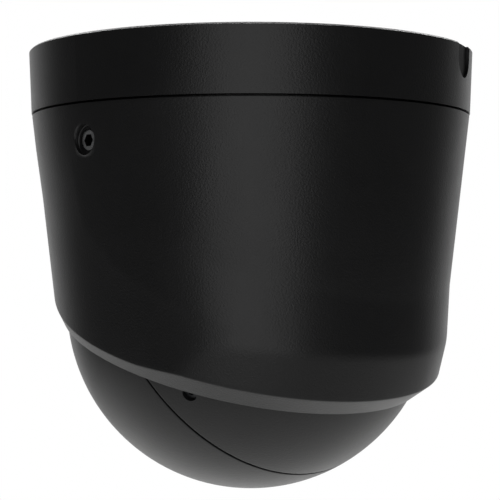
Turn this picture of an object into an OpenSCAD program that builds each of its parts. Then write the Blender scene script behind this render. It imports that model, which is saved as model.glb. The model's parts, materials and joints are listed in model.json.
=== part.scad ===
// Ceiling camera of the turret kind: a round base, a slanted shroud that turns
// under it, and an eyeball that pans, tilts and rolls in a friction cup.
// Millimetres. The origin is the centre of the mounting face, +Z points into
// the ceiling, and the camera looks towards -Y and down.

/* [Base] */
// Diameter of the base at the mounting face
base_d = 110; // [109:0.5:112]
// Height of the base, mounting face to seam
base_h = 15.3; // [15:0.1:16]
// Wall thickness of the base and its floor
base_wall = 3; // [2.6:0.2:3.2]
// Diameter of the circle of ceiling screws
screw_circle = 70; // [66:1:72]
// Diameter of each ceiling screw hole
screw_hole = 5.2; // [4.2:0.1:5.6]
// Width of the cable notch in the rim
notch_w = 9.6; // [8:0.2:11]
// Depth of the cable notch below the mounting face
notch_h = 8; // [7:0.5:9]
// Direction of the cable notch around the base
notch_turn = 113.7; // [100:1:130]

/* [Shroud] */
// Open gap between the base and the shroud
seam = 0.45; // [0.4:0.05:0.6]
// Radius of the shroud just under the seam
shroud_r = 54.25; // [54:0.05:54.3]
// Wall thickness of the shroud
shroud_wall = 2.2; // [2:0.1:2.4]
// Slope of the shroud's side, radius lost per millimetre of drop
shroud_taper = 0.116; // [0.11:0.002:0.12]
// Tilt of the slanted opening
opening_tilt = 18; // [16:0.5:19]
// How far the shroud is turned from the camera's own direction
shroud_turn = -5; // [-180:1:180]

/* [Lock screw] */
// Height of the lock screw below the mounting face
lock_drop = 24; // [23.5:0.1:24.5]
// Direction of the lock screw around the shroud
lock_turn = 6.2; // [0:1:30]
// Hex key size across flats
hex_key = 2.5; // [2:0.5:3]

/* [Eyeball] */
// Radius of the eyeball
ball_r = 45.75; // [45.6:0.05:45.8]
// Drop of the eyeball's centre below the mounting face
ball_drop = 62.07; // [61.9:0.1:62.3]
// Angle of the lens from straight down
lens_angle = 63.3; // [30:1:70]
// Wall thickness of the eyeball's shells
shell_wall = 2.4; // [2.2:0.1:2.6]
// Radius of the front window
window_r = 21.4; // [20.8:0.1:21.4]
// Number of infrared lamps around the lens
lamp_count = 6; // [4:1:8]

/* [Hidden] */
$fn = 96;

gap = 0.05;            // running clearance and glue line
base_r = base_d / 2;
rim_break = 0.4;       // broken edge at the mounting face
base_draft = 0.6;      // radius lost between mounting face and seam
cavity_r = base_r - base_draft - base_wall + 0.6;
collar_r = 46;         // collar that the lock screw bears on
collar_wall = 2.5;
collar_h = lock_drop + 4;
groove_w = 2.4;        // half width of the collar's groove at its mouth
groove_d = 1.55;
spigot_r = 13;         // spigot that the friction cup turns on
spigot_bore = 10.5;
spigot_h = base_wall + 2.5;
cable_r = 4;           // cable bore in the grommet
boss_r = 5;
boss_h = 2;

gasket_out = 50;       // foam seal against the ceiling
gasket_in = 47;
gasket_t = 1.2;
socket_x = 26;         // network socket: place, size, and its plug's mouth
socket_size = [16, 21, 13.8];
plug_size = [12, 14, 8];
plug_inset = 2;
plug_floor = 2.5;
terminal_x = -41;      // power terminal: place, size, wire holes and screws
terminal_size = [10, 12, 11];
terminal_pitch = 3;
wire_r = 1.7;
terminal_screw_r = 1.3;

shroud_top = base_h + seam;
band_drop = 58;        // where the side turns steeper
band_taper = 0.055;
band_r = shroud_r - shroud_taper * (band_drop - shroud_top);
skirt_end = 95;
skirt_r = band_r - band_taper * (skirt_end - band_drop);
lip_drop = 10.7;       // lip's edge below the ball's centre, along its axis
lip_ball = ball_r + 0.65;
lip_r = sqrt(lip_ball * lip_ball - lip_drop * lip_drop);
lip_slope = 0.85;
lip_land = 0.35;       // narrow flat at the lip's edge
bevel_r = 49.4;        // tilted cylinder that trims the low side
bevel_top = 5;
bevel_flare = 0.2;
far = 70;
keep_y = 8;            // only the low side, behind this plane, is trimmed
seat_top = 3;          // friction ring's groove, along the opening's axis
seat_end = 6.5;
seat_r = 47.6;
tongue_r = 51.4;       // tongue that rises inside the base
tongue_in = 49.4;
tongue_h = 7.25;
tongue_root = 2.2;
seal_drop = 12;
seal_h = 1.4;
seal_in = 50.6;
seal_r = cavity_r - 0.1;

lock_r = 2.45;
lock_face = 52;        // outer face of the lock screw from the axis
lock_tip = 44.75;
lock_tip_r = 0.9;
lock_cone = 46.3;
insert_r = 3.5;
insert_in = 46.6;
insert_out = 50;
pocket_r = 3.4;
lug_r = 5.5;
lug_in = 46.5;
lug_out = 52.1;
key_depth = 2.4;

cup_in = ball_r + 0.3;
cup_out = cup_in + 1.3;
cup_end = 44;
hub_in = 15;
hub_r = 17;
hub_top = base_wall + 0.6;
hub_flange = 1.5;
slot_w = 5.3;
slot_top = 14.6;

gland_r = 3.95;
gland_head_r = 5;
gland_bore = 2.6;
gland_low = 37.6;
gland_top = cup_out + 1;
gland_boss = 40.3;
nut_r = 6.5;

part_back = 1.1;       // joint between the shells, behind the ball's centre
part_gap = 0.5;
shell_in = ball_r - shell_wall;
front_face = sqrt(ball_r * ball_r - 23 * 23);
ledge = 36.7;
ledge_h = 1.8;
ledge_in = 19.6;
ledge_out = 24.6;
collar_in = 38.6;
collar_out = 41;
collar_end = 12.5;
board_ledge = 33.5;
side_screw_turn = 34.7;
side_screw_up = 8.1;
side_screw_count = 3;
lamp_circle = 14.6;
lamp_hole = 2.3;
main_z = 6;
sensor_z = -17.4;
board_t = 1.6;
chip_z = main_z + board_t;
chip_t = 1.2;
fin_count = 7;
fin_t = 1.6;
fin_h = 9;
sink_w = 36;
sink_t = 2.5;
fin_z = chip_z + chip_t + sink_t - 0.1;
lens_r = 5.5;          // lens cell: glass, spacer and barrel
barrel_r = 7;
front_lens_z = -34.4;
inner_lens_z = -27;
sensor_w = 8;
sensor_t = 1.1;
lamp_z = -33.6;
lamp_w = 3.5;
lamp_dome = 1.6;

module ring(r_out, r_in, low, high) {
  difference() {
    translate([0, 0, low]) cylinder(r = r_out, h = high - low);
    translate([0, 0, low - 1]) cylinder(r = r_in, h = high - low + 2);
  }
}

module around(count, first = 0) {
  for (k = [0 : count - 1]) rotate([0, 0, first + 360 * k / count]) children();
}

// Local frames: -Z runs along the opening's axis, or along the lens.
module in_opening() {
  translate([0, 0, -ball_drop]) rotate([-opening_tilt, 0, 0]) children();
}

module in_ball() {
  translate([0, 0, -ball_drop]) rotate([-lens_angle, 0, 0]) children();
}

module in_shroud() {
  rotate([0, 0, shroud_turn]) children();
}

module along_lock() {
  in_shroud() rotate([0, 0, lock_turn]) translate([0, 0, -lock_drop]) rotate([0, 90, 0]) children();
}

// ---- base ----

module notch_shape(w, h, r_from, r_to) {
  rotate([0, 0, notch_turn]) translate([r_from, 0, 0]) rotate([0, 90, 0]) {
    translate([h - w / 2, 0, 0]) cylinder(r = w / 2, h = r_to - r_from);
    translate([-1, -w / 2, 0]) cube([h - w / 2 + 1, w, r_to - r_from]);
  }
}

module base_body() {
  rotate_extrude() polygon([
    [spigot_bore, 0], [base_r - rim_break, 0], [base_r, -rim_break],
    [base_r - base_draft, -base_h], [cavity_r, -base_h], [cavity_r, -base_wall],
    [collar_r, -base_wall],
    [collar_r, groove_w - lock_drop], [collar_r - groove_d, groove_w - groove_d - lock_drop],
    [collar_r - groove_d, groove_d - groove_w - lock_drop], [collar_r, -groove_w - lock_drop],
    [collar_r, -collar_h], [collar_r - collar_wall, -collar_h], [collar_r - collar_wall, -base_wall],
    [spigot_r, -base_wall], [spigot_r, -spigot_h], [spigot_bore, -spigot_h]
  ]);
}

module base_ring() {
  color("#232323") difference() {
    union() {
      base_body();
      around(4, 45) translate([screw_circle / 2, 0, -base_wall - boss_h])
        cylinder(r = boss_r, h = boss_h + 1);
    }
    around(4, 45) translate([screw_circle / 2, 0, -base_h]) cylinder(d = screw_hole, h = 2 * base_h);
    ring(gasket_out, gasket_in, -gasket_t, 1);
    notch_shape(notch_w, notch_h, 50.5, base_r + 5);
  }
}

module ceiling_gasket() {
  color("#101010") ring(gasket_out - gap, gasket_in + gap, -gasket_t, 0);
}

module cable_grommet() {
  color("#161616") ring(spigot_bore, cable_r, -spigot_h, -0.3);
}

module notch_plug() {
  color("#141414") intersection() {
    notch_shape(notch_w - 2 * gap, notch_h - gap, 50.6, base_r);
    ring(base_r - 1, 40, -base_h, 0);
  }
}

module glide_washer() {
  color("#e8e4da") ring(hub_r - 0.2, spigot_r + 0.3, -hub_top + gap, -base_wall);
}

module cup_retainer() {
  color("#b8bcc0") ring(hub_in - 0.6, spigot_bore, -spigot_h - 1.2, -spigot_h);
}

module network_socket() {
  color("#3a3d42") difference() {
    translate([socket_x, -socket_size[1] / 2, -base_wall - socket_size[2]]) cube(socket_size);
    translate([socket_x + plug_inset, socket_size[1] / 2 - plug_size[1],
      -base_wall - plug_floor - plug_size[2]])
      cube([plug_size[0], plug_size[1] + 1, plug_size[2]]);
  }
}

module power_terminal() {
  color("#2f7d4a") difference() {
    translate([terminal_x, -terminal_size[1] / 2, -base_wall - terminal_size[2]]) cube(terminal_size);
    for (side = [-1, 1]) translate([0, side * terminal_pitch, -base_wall]) {
      translate([terminal_x + terminal_size[0] / 2, 0, -terminal_size[2] - 1]) cylinder(r = wire_r, h = 5);
      translate([terminal_x + terminal_size[0] - 1, 0, -4])
        rotate([0, 90, 0]) cylinder(r = terminal_screw_r, h = 5);
    }
  }
}

// ---- shroud ----

module side_body(inset, top, end) {
  rotate_extrude() polygon([
    [0, -top], [shroud_r - inset - shroud_taper * (top - shroud_top), -top],
    [band_r - inset, -band_drop],
    [skirt_r - inset, -end], [0, -end]
  ]);
}

// Cone of the chamfered lip, open upwards
module lip_body() {
  in_opening() rotate_extrude() polygon([
    [0, far], [lip_r + lip_land + lip_slope * (far + lip_drop), far],
    [lip_r + lip_land, -lip_drop], [0, -lip_drop]
  ]);
}

module bevel_body() {
  in_opening() rotate_extrude() polygon([
    [0, far], [bevel_r + bevel_flare * (far - bevel_top), far], [bevel_r, bevel_top],
    [bevel_r, -far], [0, -far]
  ]);
  translate([-far, -2 * far, -2 * far]) cube([2 * far, 2 * far + keep_y, 3 * far]);
}

module shroud_outside() {
  intersection() {
    side_body(0, shroud_top, skirt_end);
    lip_body();
    bevel_body();
  }
}

module shroud_inside() {
  intersection() {
    side_body(shroud_wall, shroud_top - 1, skirt_end);
    in_opening() rotate_extrude() polygon([
      [0, far], [seat_r + far + seat_top, far], [seat_r, -seat_top], [seat_r, -seat_end], [0, -seat_end]
    ]);
  }
}

module shroud() {
  color("#232323") in_shroud() difference() {
    union() {
      difference() {
        shroud_outside();
        shroud_inside();
      }
      ring(shroud_r - 1, tongue_in, -shroud_top - tongue_root, -shroud_top);
      ring(tongue_r, tongue_in, -shroud_top - tongue_root, -shroud_top + tongue_h);
      rotate([0, 0, lock_turn]) translate([lug_in, 0, -lock_drop]) rotate([0, 90, 0])
        cylinder(r = lug_r, h = lug_out - lug_in);
    }
    translate([0, 0, -ball_drop]) sphere(r = lip_ball);
    ring(tongue_r + 1, seal_in, -seal_drop - seal_h / 2, -seal_drop + seal_h / 2);
    rotate([0, 0, lock_turn]) translate([0, 0, -lock_drop]) rotate([0, 90, 0]) {
      translate([0, 0, lock_face]) cylinder(r = pocket_r, h = 10);
      translate([0, 0, lug_in - 5]) cylinder(r = lock_r + 2 * gap, h = 15);
      translate([0, 0, lug_in - 5]) cylinder(r = insert_r, h = insert_out - lug_in + 5);
    }
  }
}

module seam_seal() {
  color("#0c0c0c") ring(seal_r, seal_in + gap, -seal_drop - seal_h / 2 + gap, -seal_drop + seal_h / 2 - gap);
}

module screw_insert() {
  color("#b48a3c") along_lock() ring(insert_r, lock_r + gap, insert_in, insert_out);
}

module friction_ring() {
  color("#0e0e0e") in_shroud() difference() {
    intersection() {
      in_opening() translate([0, 0, gap - seat_end])
        cylinder(r = seat_r - gap, h = seat_end - seat_top - 2 * gap);
      side_body(shroud_wall + gap, shroud_top, skirt_end);
    }
    translate([0, 0, -ball_drop]) sphere(r = ball_r + gap);
  }
}

module lock_screw() {
  color("#8f9296") along_lock() difference() {
    union() {
      translate([0, 0, lock_tip]) cylinder(r1 = lock_tip_r, r2 = lock_r, h = lock_cone - lock_tip);
      translate([0, 0, lock_cone]) cylinder(r = lock_r, h = lock_face - lock_cone);
    }
    translate([0, 0, lock_face - key_depth]) cylinder(r = hex_key / sqrt(3), h = 5, $fn = 6);
  }
}

// ---- friction cup and gland ----

module friction_cup() {
  color("#4a4d50") difference() {
    union() {
      intersection() {
        translate([0, 0, -ball_drop]) sphere(r = cup_out);
        translate([0, 0, -cup_end]) cylinder(r = 60, h = cup_end - hub_top - hub_flange);
      }
      translate([0, 0, -cup_end]) cylinder(r = hub_r, h = cup_end - hub_top);
    }
    translate([0, 0, -ball_drop]) sphere(r = cup_in);
    translate([0, 0, -cup_end]) cylinder(r = hub_in, h = cup_end - hub_top - hub_flange);
    cylinder(r = spigot_r + gap, h = 100, center = true);
    translate([-slot_w, 0, -far]) cube([2 * slot_w, 60, far - slot_top]);
  }
}

module swivel_gland() {
  color("#2a2a2c") in_ball() difference() {
    union() {
      translate([0, 0, gland_low]) cylinder(r = gland_r, h = gland_top - gland_low - 1);
      translate([0, 0, cup_in]) cylinder(r = gland_head_r, h = gland_top - cup_in);
    }
    translate([0, 0, gland_low - 1]) cylinder(r = gland_bore, h = 30);
  }
}

module gland_nut() {
  color("#2a2a2c") in_ball() difference() {
    translate([0, 0, gland_low]) cylinder(r = nut_r, h = gland_boss - 0.3 - gland_low, $fn = 6);
    translate([0, 0, gland_low - 1]) cylinder(r = gland_r, h = 10);
  }
}

module cord_bush() {
  color("#101010") in_ball() ring(gland_bore, 1.9, gland_low + 1, gland_top);
}

// ---- eyeball ----

module shell_part(low, high) {
  intersection() {
    difference() {
      sphere(r = ball_r);
      sphere(r = shell_in);
    }
    translate([0, 0, low]) cylinder(r = 60, h = high - low);
  }
}

module side_screw_axis() {
  around(side_screw_count, side_screw_turn) translate([0, 0, side_screw_up]) rotate([0, 90, 0]) children();
}

module rear_shell() {
  color("#232323") in_ball() difference() {
    union() {
      shell_part(part_back + part_gap / 2, 60);
      intersection() {
        translate([0, 0, gland_boss]) cylinder(r = 8, h = 20);
        sphere(r = ball_r - 1);
      }
    }
    cylinder(r = gland_r + gap, h = 100);
    side_screw_axis() cylinder(r = 1.6, h = 60);
  }
}

module front_shell() {
  color("#232323") in_ball() difference() {
    union() {
      shell_part(-front_face, part_back - part_gap / 2);
      ring(ledge_out, ledge_in, -ledge, -ledge + ledge_h);
      ring(shell_in + 0.6, collar_in, -2.5, part_back - part_gap / 2 - 0.5);
      ring(collar_out, collar_in, -2.5, collar_end);
      ring(collar_out - 1, board_ledge, main_z - 2, main_z);
    }
    translate([0, 0, -ledge - 20]) cylinder(r = window_r + 0.15, h = 20);
    translate([0, 0, -60]) cylinder(r = ledge_in, h = 40);
    side_screw_axis() cylinder(r = 1.3, h = 60);
    mic_axis() cylinder(r = 0.6, h = 60);
  }
}

module shell_seal() {
  color("#080808") in_ball() ring(45.2, 43, part_back - part_gap / 2 + 0.02, part_back + part_gap / 2 - 0.02);
}

module shell_screws() {
  color("#55585c") in_ball() side_screw_axis() difference() {
    union() {
      translate([0, 0, collar_in]) cylinder(r = 1.25, h = 5);
      translate([0, 0, shell_in]) cylinder(r = 1.55, h = 1);
    }
    translate([0, 0, shell_in + 0.4]) cylinder(r = 0.75, h = 2, $fn = 6);
  }
}

module window() {
  color("#1b2026", 0.5) in_ball() translate([0, 0, -39.35]) cylinder(r = window_r, h = 2.05);
}

module window_seal() {
  color("#101010") in_ball() ring(window_r - 0.1, ledge_in + 0.2, -37.25, -ledge);
}

module front_bezel() {
  color("#0b0b0c") in_ball() difference() {
    ring(ledge_in - 0.2, 9, -36.2, -35.2);
    around(lamp_count) translate([lamp_circle, 0, -40]) cylinder(r = lamp_hole, h = 10);
    rotate([0, 0, 90]) translate([lamp_circle, 0, -40]) cylinder(r = 1.2, h = 10);
  }
}

module light_baffle() {
  color("#121212") in_ball() ring(8.9, 7.9, -37.2, -30);
}

module lens_ring() {
  color("#1a1a1c") in_ball() difference() {
    translate([0, 0, -36.6]) cylinder(r = 7.4, h = 2.1);
    translate([0, 0, -36.7]) cylinder(r1 = 6.1, r2 = 4.8, h = 2.4);
  }
}

module front_lens() {
  color("#2a3350", 0.6) in_ball() {
    translate([0, 0, front_lens_z]) cylinder(r = lens_r, h = 2.9);
    intersection() {
      translate([0, 0, -36.5]) cylinder(r = 4.7, h = 2.3);
      translate([0, 0, -28]) sphere(r = 8);
    }
  }
}

module lens_spacer() {
  color("#0f0f10") in_ball() ring(lens_r, 3, -31.4, inner_lens_z - 0.1);
}

module inner_lens() {
  color("#33405e", 0.6) in_ball() intersection() {
    translate([0, 0, inner_lens_z]) cylinder(r = lens_r, h = 4);
    translate([0, 0, -16.5]) sphere(r = 10.4);
    translate([0, 0, -33]) sphere(r = 9.8);
  }
}

module lens_barrel() {
  color("#151517") in_ball() ring(barrel_r, lens_r + gap, -34.5, -21.7);
}

module lens_holder() {
  color("#1c1c1e") in_ball() difference() {
    translate([-10, -13, -25.5]) cube([20, 26, 8.1]);
    translate([0, 0, -30]) cylinder(r = barrel_r + gap, h = 8.4);
    translate([-4.4, -4.4, -21.6]) cube([8.8, 16, 1.7]);
    translate([-5, -5, -20]) cube([10, 10, 3]);
  }
}

module ir_filter() {
  color("#6a3a48", 0.6) in_ball() translate([-4, -4, -21.1]) cube([8, 8, 0.8]);
}

module image_sensor() {
  color("#3b4a5c") in_ball() translate([-sensor_w / 2, -sensor_w / 2, sensor_z - sensor_t])
    cube([sensor_w, sensor_w, sensor_t]);
}

module sensor_board() {
  color("#1f5a3a") in_ball() translate([-19, -19, sensor_z]) cube([38, 38, board_t]);
}

module lamp_board() {
  color("#1f5a3a") in_ball() ring(19, 9.8, -32.6, -31.2);
}

module ir_lamps() {
  color("#b9c0c8") in_ball() around(lamp_count) translate([lamp_circle, 0, 0]) {
    translate([-lamp_w / 2, -lamp_w / 2, lamp_z]) cube([lamp_w, lamp_w, 1]);
    intersection() {
      translate([0, 0, lamp_z]) sphere(r = lamp_dome);
      translate([0, 0, -36]) cylinder(r = 3, h = 2.5);
    }
  }
}

module light_sensor() {
  color("#c9b26a") in_ball() rotate([0, 0, 90]) translate([lamp_circle, 0, -35]) cylinder(r = 1, h = 2.4);
}

module lamp_posts() {
  color("#c2a35a") in_ball() around(4, 45) translate([17, 0, -31.2]) cylinder(r = 1.5, h = 31.2 + sensor_z);
}

module mic_axis() {
  rotate([0, 0, 90]) rotate([0, 135, 0]) children();
}

module microphone() {
  color("#9da2a6") in_ball() mic_axis() translate([0, 0, 40.8]) cylinder(r = 2, h = 2.2);
}

module main_board() {
  color("#1f5a3a") in_ball() translate([0, 0, main_z]) cylinder(r = 36, h = board_t);
}

module board_posts() {
  color("#c2a35a") in_ball() around(4, 45)
    translate([21, 0, sensor_z + board_t]) cylinder(r = 2, h = main_z - sensor_z - board_t);
}

module board_chips() {
  color("#17181a") in_ball() {
    translate([-7, -7, chip_z]) cube([14, 14, chip_t]);
    for (x = [-1, 1]) translate([x * 26 - 4.5, -6, chip_z]) cube([9, 12, 1.1]);
    translate([-9, 24, chip_z]) cube([18, 6, 4]);
    translate([-8, -29, chip_z]) cube([16, 5, 3]);
  }
}

module heat_sink() {
  color("#c4c8cc") in_ball() {
    translate([-sink_w / 2, -sink_w / 2, chip_z + chip_t]) cube([sink_w, sink_w, sink_t]);
    for (k = [0 : fin_count - 1])
      translate([-sink_w / 2 + k * (sink_w - fin_t) / (fin_count - 1), -sink_w / 2, fin_z])
        cube([fin_t, sink_w, fin_h]);
  }
}

base_ring();
ceiling_gasket();
cable_grommet();
notch_plug();
glide_washer();
cup_retainer();
network_socket();
power_terminal();
shroud();
seam_seal();
screw_insert();
friction_ring();
lock_screw();
friction_cup();
swivel_gland();
gland_nut();
cord_bush();
rear_shell();
front_shell();
shell_seal();
shell_screws();
window();
window_seal();
front_bezel();
light_baffle();
lens_ring();
front_lens();
lens_spacer();
inner_lens();
lens_barrel();
lens_holder();
ir_filter();
image_sensor();
sensor_board();
lamp_board();
ir_lamps();
light_sensor();
lamp_posts();
microphone();
main_board();
board_posts();
board_chips();
heat_sink();
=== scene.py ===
# Ceiling turret camera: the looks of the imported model, seen from behind its lens.
import json
import math
import bmesh
import bpy
import numpy as np
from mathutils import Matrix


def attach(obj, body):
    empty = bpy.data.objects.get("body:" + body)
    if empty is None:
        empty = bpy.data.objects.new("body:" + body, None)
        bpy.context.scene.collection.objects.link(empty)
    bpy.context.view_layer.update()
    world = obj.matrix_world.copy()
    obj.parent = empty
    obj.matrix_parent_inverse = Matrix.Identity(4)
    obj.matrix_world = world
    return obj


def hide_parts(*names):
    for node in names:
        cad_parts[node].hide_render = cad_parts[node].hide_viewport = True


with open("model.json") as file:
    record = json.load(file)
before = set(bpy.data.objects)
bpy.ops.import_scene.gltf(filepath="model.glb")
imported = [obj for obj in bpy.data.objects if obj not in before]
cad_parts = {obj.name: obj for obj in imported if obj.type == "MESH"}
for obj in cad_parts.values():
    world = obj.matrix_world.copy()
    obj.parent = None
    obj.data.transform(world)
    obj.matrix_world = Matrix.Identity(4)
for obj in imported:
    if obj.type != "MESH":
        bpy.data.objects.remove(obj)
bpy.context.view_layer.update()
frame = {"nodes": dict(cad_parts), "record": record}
scene = bpy.context.scene
mm = 0.001
slotOf = {s["node"]: s["material_slot"] for s in frame["record"]["subparts"]}
print("frame loaded:", len(frame["nodes"]), "nodes")

# The view: a long lens, level with the middle of the object, behind it and to its side
viewSet = {
    "focal": 108.3,
    "distance": 377.0,
    "height": -51.0,
    "azimuth": 46.2,
    "pitchUp": 0.34,
    "shiftX": -0.0016,
    "shiftY": 0.001,
    "sensorWidth": 36.0,
    "clip": (0.01, 50.0),
}


def makeCamera(v):
    cam = bpy.data.cameras.new("viewCamera")
    cam.lens = v["focal"]
    cam.sensor_width = v["sensorWidth"]
    cam.shift_x, cam.shift_y = v["shiftX"], v["shiftY"]
    cam.clip_start, cam.clip_end = v["clip"]
    obj = bpy.data.objects.new("viewCamera", cam)
    scene.collection.objects.link(obj)
    a = math.radians(v["azimuth"])
    d = v["distance"] * mm
    obj.location = (d * math.cos(a), d * math.sin(a), v["height"] * mm)
    obj.rotation_euler = (math.radians(90 + v["pitchUp"]), 0, a + math.radians(90))
    scene.camera = obj


makeCamera(viewSet)
print("camera placed")


# Adds a node, sets its own values and plain inputs, and joins the sockets in links to it.
def setNode(tree, kind, links=None, inputs=None, **values):
    node = tree.nodes.new(kind)
    for name, value in values.items():
        setattr(node, name, value)
    for name, value in (inputs or {}).items():
        node.inputs[name].default_value = value
    for name, socket in (links or {}).items():
        tree.links.new(socket, node.inputs[name])
    return node


def mathNode(tree, operation, a, b=None, clamp=False):
    node = setNode(tree, "ShaderNodeMath", operation=operation, use_clamp=clamp)
    for k, value in enumerate([a] if b is None else [a, b]):
        if isinstance(value, (int, float)):
            node.inputs[k].default_value = value
        else:
            tree.links.new(value, node.inputs[k])
    return node.outputs[0]


# a where factor is 0 and b where it is 1; each is a colour or a socket.
def mixColor(tree, factor, a, b):
    node = setNode(tree, "ShaderNodeMix", data_type="RGBA")
    tree.links.new(factor, node.inputs[0])
    for k, value in ((6, a), (7, b)):
        if isinstance(value, tuple):
            node.inputs[k].default_value = (*value, 1)
        else:
            tree.links.new(value, node.inputs[k])
    return node.outputs[2]


# A shader group with named sockets; returns it with its input and output nodes.
def newGroup(name, inputs, outputs):
    group = bpy.data.node_groups.new(name, "ShaderNodeTree")
    for label, kind, value in inputs:
        socket = group.interface.new_socket(label, in_out="INPUT", socket_type=kind)
        if value is not None:
            socket.default_value = value
    for label, kind in outputs:
        group.interface.new_socket(label, in_out="OUTPUT", socket_type=kind)
    return group, group.nodes.new("NodeGroupInput"), group.nodes.new("NodeGroupOutput")


def putGroup(tree, group, links=None, inputs=None):
    return setNode(tree, "ShaderNodeGroup", links, inputs, node_tree=group)


# A material with its tree, its shader and the object coordinates
def startMaterial(name):
    m = bpy.data.materials.new(name)
    m.use_nodes = True
    t = m.node_tree
    return m, t, t.nodes["Principled BSDF"], t.nodes.new("ShaderNodeTexCoord").outputs["Object"]


# Joins what a material works out to its shader, with a bump where there is a height
def joinShader(tree, shader, color, rough, height=None, depth=0.0):
    tree.links.new(color, shader.inputs["Base Color"])
    tree.links.new(rough, shader.inputs["Roughness"])
    if height is not None:
        bump = setNode(tree, "ShaderNodeBump", {"Height": height}, {"Distance": depth})
        tree.links.new(bump.outputs[0], shader.inputs["Normal"])


def mapRange(tree, value, given=(0.0, 1.0), wanted=(0.0, 1.0), smooth=False):
    return setNode(tree, "ShaderNodeMapRange", {"Value": value}, {
        "From Min": given[0], "From Max": given[1], "To Min": wanted[0], "To Max": wanted[1],
    }, interpolation_type="SMOOTHSTEP" if smooth else "LINEAR").outputs["Result"]


floatKind, vectorKind = "NodeSocketFloat", "NodeSocketVector"

grainSet = {
    "size": 0.0004, "crater": 0.4, "detail": 2.0, "rough": 0.55, "smooth": 0.4,
    "fleckScale": 0.45, "fleckDetail": 1.0, "fleckRange": (0.62, 0.78),
}


# Fine grain of a given size: soft lumps with small craters; Height and a sparse Speck mask.
def makeGrainGroup(s):
    g, a, z = newGroup(
        "fineGrain",
        [("Vector", vectorKind, None), ("Size", floatKind, s["size"]),
         ("Crater", floatKind, s["crater"])],
        [("Height", floatKind), ("Speck", floatKind)],
    )
    scale = mathNode(g, "DIVIDE", 1.0, a.outputs["Size"])
    lumps = setNode(g, "ShaderNodeTexNoise", {"Vector": a.outputs["Vector"], "Scale": scale},
                    {"Detail": s["detail"], "Roughness": s["rough"]})
    craters = setNode(g, "ShaderNodeTexVoronoi", {"Vector": a.outputs["Vector"], "Scale": scale},
                      feature="SMOOTH_F1", inputs={"Smoothness": s["smooth"]})
    pit = mathNode(g, "MULTIPLY", craters.outputs["Distance"], a.outputs["Crater"])
    height = mathNode(g, "SUBTRACT", lumps.outputs["Fac"], pit)
    coarse = mathNode(g, "MULTIPLY", scale, s["fleckScale"])
    flecks = setNode(g, "ShaderNodeTexNoise", {"Vector": a.outputs["Vector"], "Scale": coarse},
                     {"Detail": s["fleckDetail"]})
    speck = mapRange(g, flecks.outputs["Fac"], given=s["fleckRange"], smooth=True)
    g.links.new(height, z.inputs["Height"])
    g.links.new(speck, z.inputs["Speck"])
    return g


patchSet = {
    "size": 0.03, "wipe": 0.3, "detail": 4.0, "rough": 0.6, "distortion": 0.6,
    "squeeze": (1.0, 1.0, 0.12), "wipeScale": 900.0, "wipeDetail": 3.0, "range": (0.35, 0.9),
}


# Wide soft patches and faint vertical wipe marks, as handling leaves; one Mask from 0 to 1.
def makePatchGroup(s):
    g, a, z = newGroup(
        "handledPatches",
        [("Vector", vectorKind, None), ("Size", floatKind, s["size"]),
         ("Wipe", floatKind, s["wipe"])],
        [("Mask", floatKind)],
    )
    scale = mathNode(g, "DIVIDE", 1.0, a.outputs["Size"])
    wide = setNode(g, "ShaderNodeTexNoise", {"Vector": a.outputs["Vector"], "Scale": scale},
                   {"Detail": s["detail"], "Roughness": s["rough"],
                    "Distortion": s["distortion"]})
    squeeze = setNode(g, "ShaderNodeMapping", {"Vector": a.outputs["Vector"]},
                      {"Scale": s["squeeze"]})
    wipes = setNode(g, "ShaderNodeTexNoise", {"Vector": squeeze.outputs[0]},
                    {"Scale": s["wipeScale"], "Detail": s["wipeDetail"]})
    part = mathNode(g, "MULTIPLY", wipes.outputs["Fac"], a.outputs["Wipe"])
    both = mathNode(g, "ADD", wide.outputs["Fac"], part)
    g.links.new(mapRange(g, both, given=s["range"]), z.inputs["Mask"])
    return g


wearSet = {
    "amount": 0.5, "scale": 420.0, "detail": 5.0, "rough": 0.65, "spared": 0.22, "gain": 2.4,
}


# Wear on the edges: the piece's own edge attribute broken up by noise; one Mask.
def makeWearGroup(s):
    g, a, z = newGroup(
        "edgeWear",
        [("Vector", vectorKind, None), ("Edge", floatKind, 0.0),
         ("Amount", floatKind, s["amount"])],
        [("Mask", floatKind)],
    )
    broken = setNode(g, "ShaderNodeTexNoise", {"Vector": a.outputs["Vector"]},
                     {"Scale": s["scale"], "Detail": s["detail"], "Roughness": s["rough"]})
    lifted = mathNode(g, "ADD", broken.outputs["Fac"], -s["spared"])
    chips = mathNode(g, "MULTIPLY", lifted, a.outputs["Edge"])
    strong = mathNode(g, "MULTIPLY", chips, a.outputs["Amount"])
    mask = mathNode(g, "MULTIPLY", strong, s["gain"], clamp=True)
    g.links.new(mask, z.inputs["Mask"])
    return g


streakSet = {
    "stretch": (1.0, 1.0, 0.02), "scale": 9000.0, "detail": 3.0, "range": (0.35, 0.65),
}


# Fine lines along one axis of the vector, as machining leaves; Height and Mask.
def makeStreakGroup(s):
    g, a, z = newGroup(
        "machineLines",
        [("Vector", vectorKind, None), ("Stretch", vectorKind, s["stretch"]),
         ("Scale", floatKind, s["scale"])],
        [("Height", floatKind), ("Mask", floatKind)],
    )
    pull = setNode(g, "ShaderNodeVectorMath", {0: a.outputs["Vector"], 1: a.outputs["Stretch"]},
                   operation="MULTIPLY")
    lines = setNode(g, "ShaderNodeTexNoise",
                    {"Vector": pull.outputs[0], "Scale": a.outputs["Scale"]},
                    {"Detail": s["detail"]})
    mask = mapRange(g, lines.outputs["Fac"], given=s["range"])
    g.links.new(lines.outputs["Fac"], z.inputs["Height"])
    g.links.new(mask, z.inputs["Mask"])
    return g


grainGroup = makeGrainGroup(grainSet)
patchGroup = makePatchGroup(patchSet)
wearGroup = makeWearGroup(wearSet)
streakGroup = makeStreakGroup(streakSet)
print("node groups built")

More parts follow.
